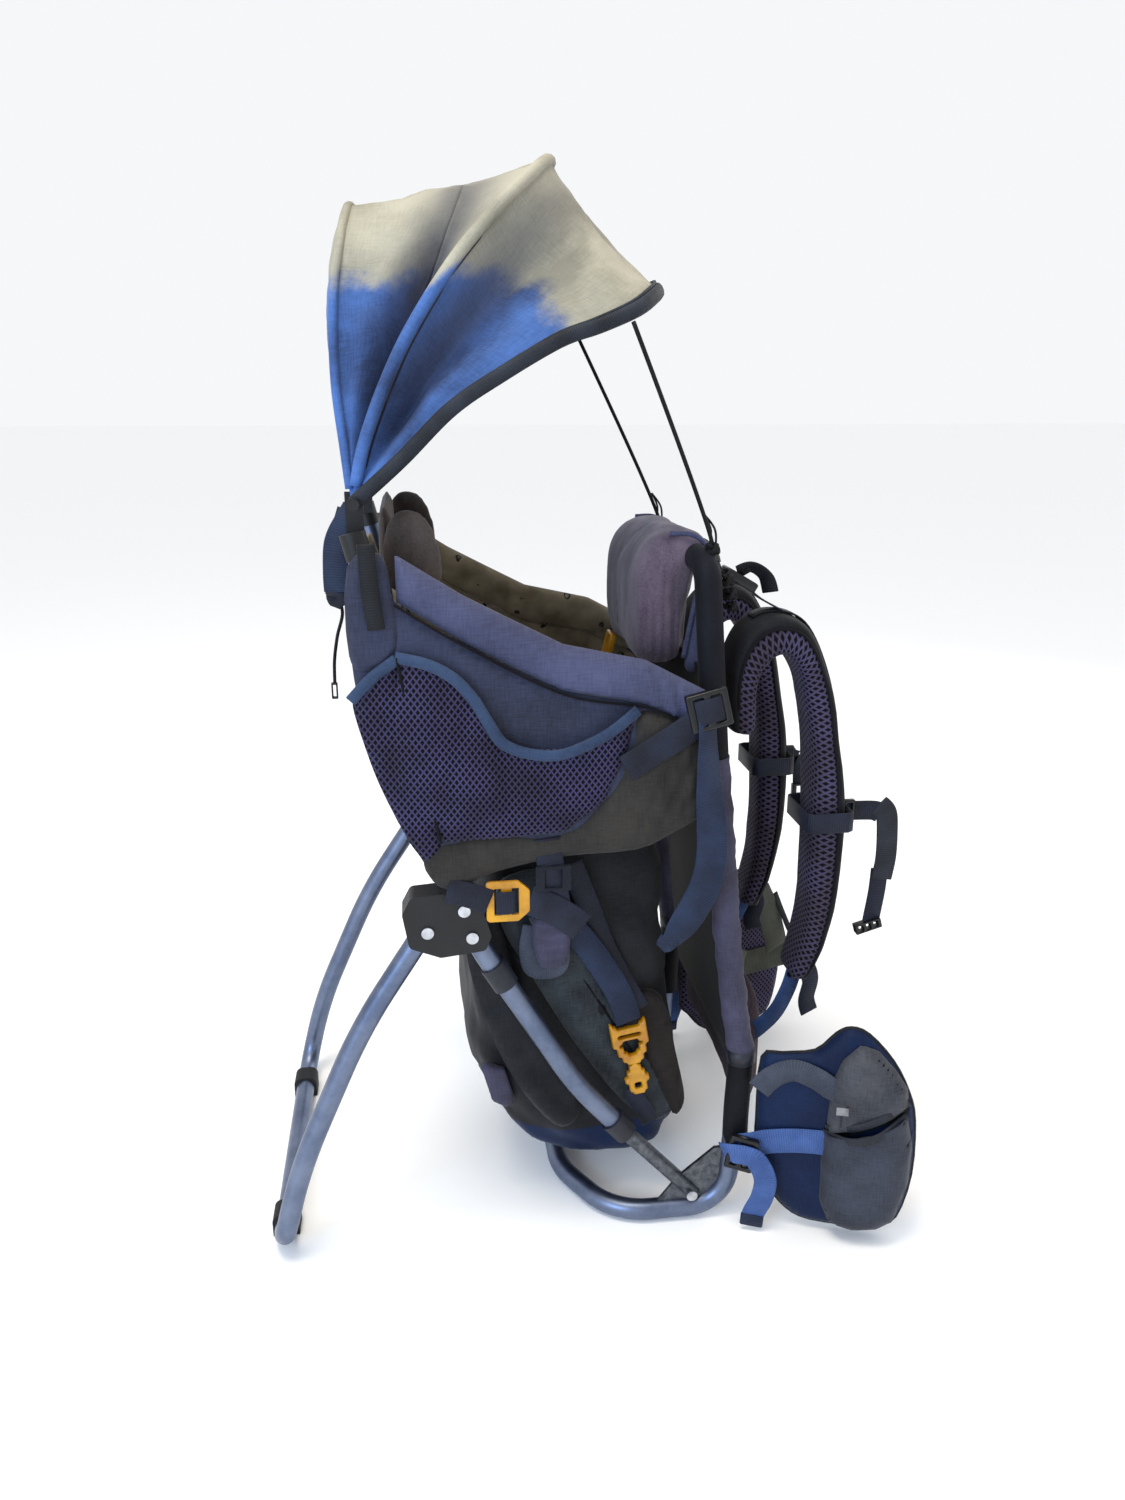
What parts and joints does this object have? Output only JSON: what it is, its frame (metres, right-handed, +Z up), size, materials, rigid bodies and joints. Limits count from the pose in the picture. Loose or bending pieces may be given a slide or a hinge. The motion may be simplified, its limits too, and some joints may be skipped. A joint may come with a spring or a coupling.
{
  "type": "baby carrier backpack",
  "caption": "Framed child carrier backpack with fold-out stand, fabric child seat, folding sun canopy, luggage bag and padded shoulder and hip harness.",
  "frame": {"origin": "on the ground, at the centre of the whole carrier's box", "axes": "+X is the wearer's forward direction, +Y the wearer's left, +Z up"},
  "size_m": [0.73, 0.523, 1.078],
  "materials": {
    "frame_tube": "drawn and bent tube, bare, lightly scuffed",
    "gusset_metal": "pressed plate, welded",
    "fastener_steel": "pan-head screws",
    "bracket_plastic": "moulded, fine grain",
    "collar_plastic": "moulded sleeve",
    "buckle_plastic": "moulded acetal",
    "yellow_plastic": "moulded acetal, yellow",
    "foot_rubber": "moulded clip",
    "canopy_cloth": "light plain-weave nylon",
    "seat_cloth": "ripstop side panel",
    "rim_cloth": "padded band in brushed nylon",
    "sleeve_cloth": "tube sleeve",
    "mesh_cloth": "diamond mesh",
    "pad_mesh": "air mesh over foam",
    "harness_cloth": "packcloth over foam",
    "fin_cloth": "packcloth over foam",
    "pocket_cloth": "packcloth pocket",
    "lining_cloth": "printed cotton lining",
    "fleece": "brushed fleece over foam",
    "bag_cloth": "packcloth bag",
    "net_cloth": "spacer panel",
    "webbing_navy": "polyester webbing",
    "webbing_grey": "polyester webbing",
    "elastic_cord": "braided elastic cord",
    "hoop_rod": "fibreglass rod, black",
    "zip_metal": "cast zip slider"
  },
  "bodies": {
    "root": {"base_loop": "frame_tube", "upright_right": "frame_tube", "upright_left": "frame_tube", "top_crossbar": "frame_tube", "strut_right": "frame_tube", "strut_left": "frame_tube", "strut_ends": "gusset_metal", "gusset_plates": "gusset_metal", "gusset_bolts": "fastener_steel", "bracket_screws": "fastener_steel", "strut_collars": "collar_plastic", "bracket_outer_halves": "bracket_plastic", "bracket_inner_halves": "bracket_plastic", "upright_sleeves": "sleeve_cloth", "back_panel": "net_cloth", "back_pads": "pad_mesh", "lumbar_pad": "pad_mesh", "seat_side_right": "seat_cloth", "seat_side_left": "seat_cloth", "seat_rims": "rim_cloth", "seat_back": "seat_cloth", "back_cushion": "lining_cloth", "headrest": "fleece", "chin_pad": "fleece", "child_harness": "yellow_plastic", "mesh_pockets": "mesh_cloth", "rear_pocket": "mesh_cloth", "rear_loop": "webbing_navy", "luggage_bag": "bag_cloth", "seat_webbing": "webbing_navy", "rim_buckles": "buckle_plastic", "compression_locks": "yellow_plastic", "foot_loops": "webbing_grey", "entry_buckle_housing": "yellow_plastic", "canopy_sockets": "buckle_plastic", "canopy_rear_hoop": "hoop_rod", "canopy_rear_cover": "canopy_cloth"},
    "kickstand": {"kickstand_tube": "frame_tube", "kickstand_feet": "foot_rubber"},
    "saddle": {"seat_saddle": "lining_cloth"},
    "canopy_front": {"canopy_front_hoop": "hoop_rod", "canopy_front_cover": "canopy_cloth", "canopy_cord_right": "elastic_cord", "canopy_cord_left": "elastic_cord"},
    "canopy_mid": {"canopy_mid_hoop": "hoop_rod"},
    "harness": {"shoulder_yoke": "harness_cloth", "shoulder_strap_right": "harness_cloth", "shoulder_strap_left": "harness_cloth", "load_lifters": "webbing_navy", "lower_straps": "webbing_navy"},
    "sternum_right": {"sternum_strap_right": "webbing_navy"},
    "sternum_left": {"sternum_strap_left": "webbing_navy"},
    "hip_right": {"hip_fin_right": "fin_cloth", "hip_pocket_right": "pocket_cloth", "waist_strap_right": "webbing_navy"},
    "hip_left": {"hip_fin_left": "fin_cloth", "hip_pocket_left": "pocket_cloth", "waist_strap_left": "webbing_navy"},
    "zip_slider": {"hip_zip_slider": "zip_metal"},
    "buckle_tongue": {"entry_buckle_tongue": "yellow_plastic"}
  },
  "joints": [
    {"name": "stand_fold", "type": "hinge", "parent": "root", "child": "kickstand", "pos_m": [-0.188, 0, 0.368], "axis": [0, 1, 0], "range_deg": [-40, 0]},
    {"name": "canopy_fold", "type": "hinge", "parent": "root", "child": "canopy_front", "pos_m": [-0.238, 0, 0.773], "axis": [0, 1, 0], "range_deg": [-46, 0], "deforming": ["canopy_front_cover", "canopy_rear_cover", "canopy_cord_right", "canopy_cord_left"]},
    {"name": "canopy_mid_fold", "type": "hinge", "parent": "canopy_front", "child": "canopy_mid", "pos_m": [-0.238, 0, 0.773], "axis": [0, 1, 0], "range_deg": [0, 21]},
    {"name": "saddle_height", "type": "slide", "parent": "root", "child": "saddle", "axis": [0, 0, 1], "range_m": [0, 0.06]},
    {"name": "harness_height", "type": "slide", "parent": "root", "child": "harness", "axis": [-0.1089, 0, 0.9941], "range_m": [-0.03, 0.03], "deforming": ["load_lifters", "lower_straps"]},
    {"name": "sternum_right_height", "type": "slide", "parent": "harness", "child": "sternum_right", "axis": [0, 0, 1], "range_m": [-0.05, 0.03]},
    {"name": "sternum_left_height", "type": "slide", "parent": "harness", "child": "sternum_left", "axis": [0, 0, 1], "range_m": [-0.05, 0.03]},
    {"name": "hip_right_swing", "type": "hinge", "parent": "root", "child": "hip_right", "pos_m": [0.154, -0.177, 0], "axis": [0, 0, 1], "range_deg": [-12, 30], "stiffness_Nm_per_rad": 0.8},
    {"name": "hip_left_swing", "type": "hinge", "parent": "root", "child": "hip_left", "pos_m": [0.154, 0.177, 0], "axis": [0, 0, 1], "range_deg": [-30, 12], "stiffness_Nm_per_rad": 0.8},
    {"name": "zip_travel", "type": "slide", "parent": "hip_right", "child": "zip_slider", "axis": [0.9178, -0.2982, 0.2622], "range_m": [0, 0.03]},
    {"name": "entry_buckle_release", "type": "slide", "parent": "root", "child": "buckle_tongue", "axis": [0.175, 0, -0.9846], "range_m": [0, 0.03]}
  ],
  "couplings": [
    {"joint": "canopy_mid_fold", "follows": "canopy_fold", "ratio": -0.45}
  ]
}
